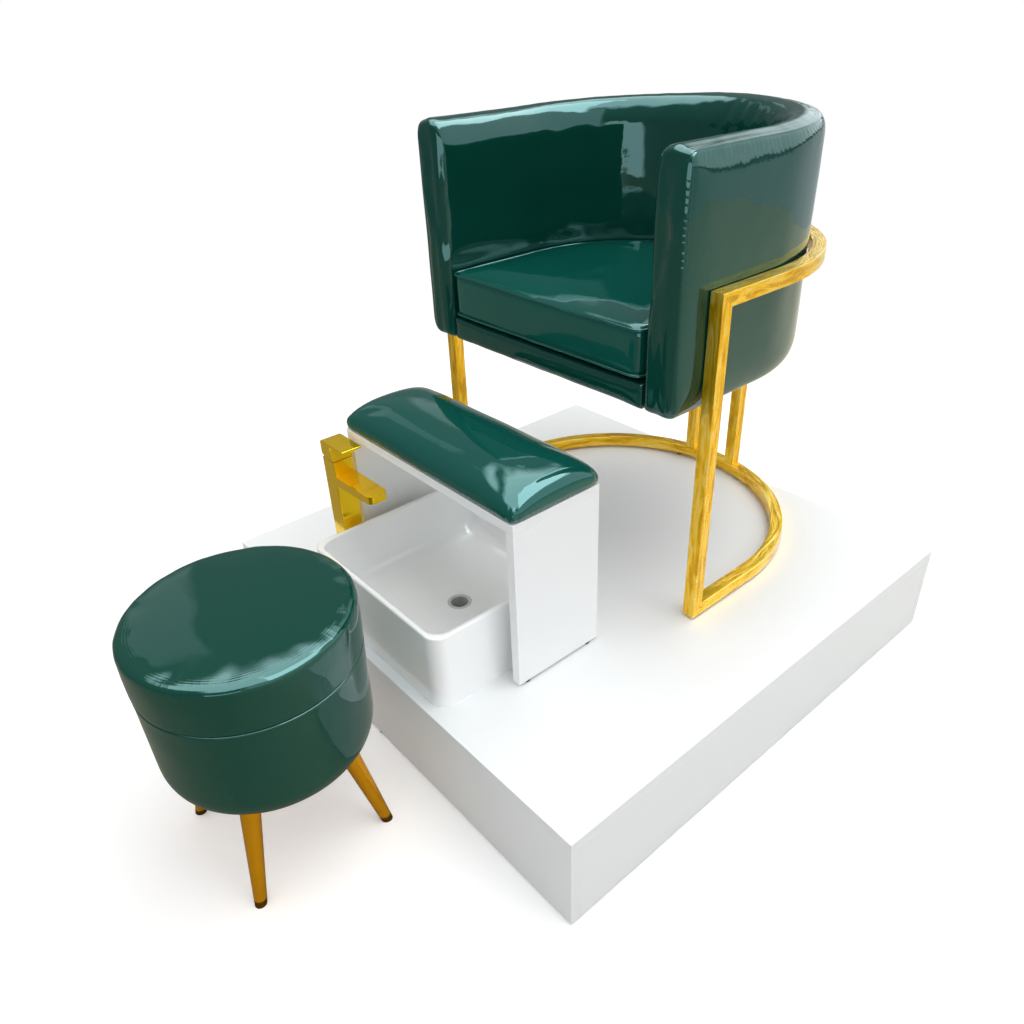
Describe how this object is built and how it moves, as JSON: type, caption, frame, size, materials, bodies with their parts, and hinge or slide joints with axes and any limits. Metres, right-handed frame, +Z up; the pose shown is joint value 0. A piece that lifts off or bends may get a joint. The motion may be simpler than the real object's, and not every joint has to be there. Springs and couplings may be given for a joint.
{
  "type": "pedicure chair",
  "caption": "Raised platform with a padded tub chair on a tube frame, a square basin with mixer tap, a padded footrest bridge and a round stool.",
  "frame": {"origin": "middle of the platform's underside, on the floor", "axes": "+X along the platform's front edge, +Y from the stool towards the chair's back, +Z up"},
  "size_m": [1.08, 1.469, 1.054],
  "materials": {
    "white_lacquer": "white satin lacquer on board",
    "plain_wood": "bare",
    "black_rubber": "matte",
    "white_ceramic": "gloss glaze",
    "bright_chrome": "polished",
    "white_plastic": "satin",
    "tap_gold": "polished gold",
    "copper_tube": "bare",
    "frame_gold": "polished gold plate on steel",
    "patent_leather": "high-gloss patent",
    "black_cloth": "matte"
  },
  "bodies": {
    "station": {"deck_board": "white_lacquer", "front_panel": "white_lacquer", "back_panel": "white_lacquer", "left_panel": "white_lacquer", "right_panel": "white_lacquer", "cross_bearers": "plain_wood", "corner_blocks": "plain_wood", "platform_glides": "black_rubber", "basin": "white_ceramic", "waste_body": "bright_chrome", "waste_seal": "black_rubber", "waste_nut": "white_plastic", "bottle_trap": "white_plastic", "trap_cup": "white_plastic", "waste_pipe": "white_plastic", "waste_socket": "white_plastic", "tap_gasket": "black_rubber", "tap_body": "tap_gold", "tap_aerator": "bright_chrome", "tap_cartridge": "white_plastic", "tap_retaining_ring": "tap_gold", "tap_stud": "bright_chrome", "tap_clamp_washer": "bright_chrome", "tap_clamp_nut": "bright_chrome", "cold_tail": "copper_tube", "hot_tail": "copper_tube", "cold_coupling": "bright_chrome", "hot_coupling": "bright_chrome", "floor_ring": "frame_gold", "top_rail": "frame_gold", "left_front_post": "frame_gold", "right_front_post": "frame_gold", "left_rear_post": "frame_gold", "right_rear_post": "frame_gold", "ring_pads": "black_rubber", "shell_spacers": "black_rubber", "tub_shell": "patent_leather", "front_rail": "patent_leather", "seat_frame": "plain_wood", "seat_deck": "plain_wood", "bottom_cover": "black_cloth"},
    "tap_turret": {"tap_turret": "white_plastic"},
    "tap_handle": {"tap_stem": "bright_chrome", "tap_handle": "tap_gold"},
    "seat_cushion": {"seat_cushion": "patent_leather"},
    "footrest": {"footrest_left_panel": "white_lacquer", "footrest_right_panel": "white_lacquer", "footrest_board": "white_lacquer", "footrest_feet": "black_rubber", "footrest_pad": "patent_leather"},
    "stool": {"stool_seat_pad": "patent_leather", "stool_drum": "patent_leather", "stool_base_board": "plain_wood", "stool_leg_plates": "frame_gold", "stool_leg_1": "frame_gold", "stool_leg_2": "frame_gold", "stool_leg_3": "frame_gold", "stool_leg_4": "frame_gold", "stool_leg_tips": "black_rubber"}
  },
  "joints": [
    {"name": "tap_swivel", "type": "hinge", "parent": "station", "child": "tap_turret", "pos_m": [-0.2355, -0.4125, 0.4753], "axis": [0, 0, 1], "range_deg": [-45, 5]},
    {"name": "tap_lift", "type": "hinge", "parent": "tap_turret", "child": "tap_handle", "pos_m": [-0.2355, -0.4125, 0.4753], "axis": [0, -1, 0], "range_deg": [0, 15]},
    {"name": "cushion_lift", "type": "slide", "parent": "station", "child": "seat_cushion", "axis": [0, 0, 1], "range_m": [0, 0.15]},
    {"name": "footrest_lift", "type": "slide", "parent": "station", "child": "footrest", "axis": [0, 0, 1], "range_m": [0, 0.15]},
    {"name": "stool_pull", "type": "slide", "parent": "station", "child": "stool", "axis": [0, -1, 0], "range_m": [0, 0.35]}
  ]
}
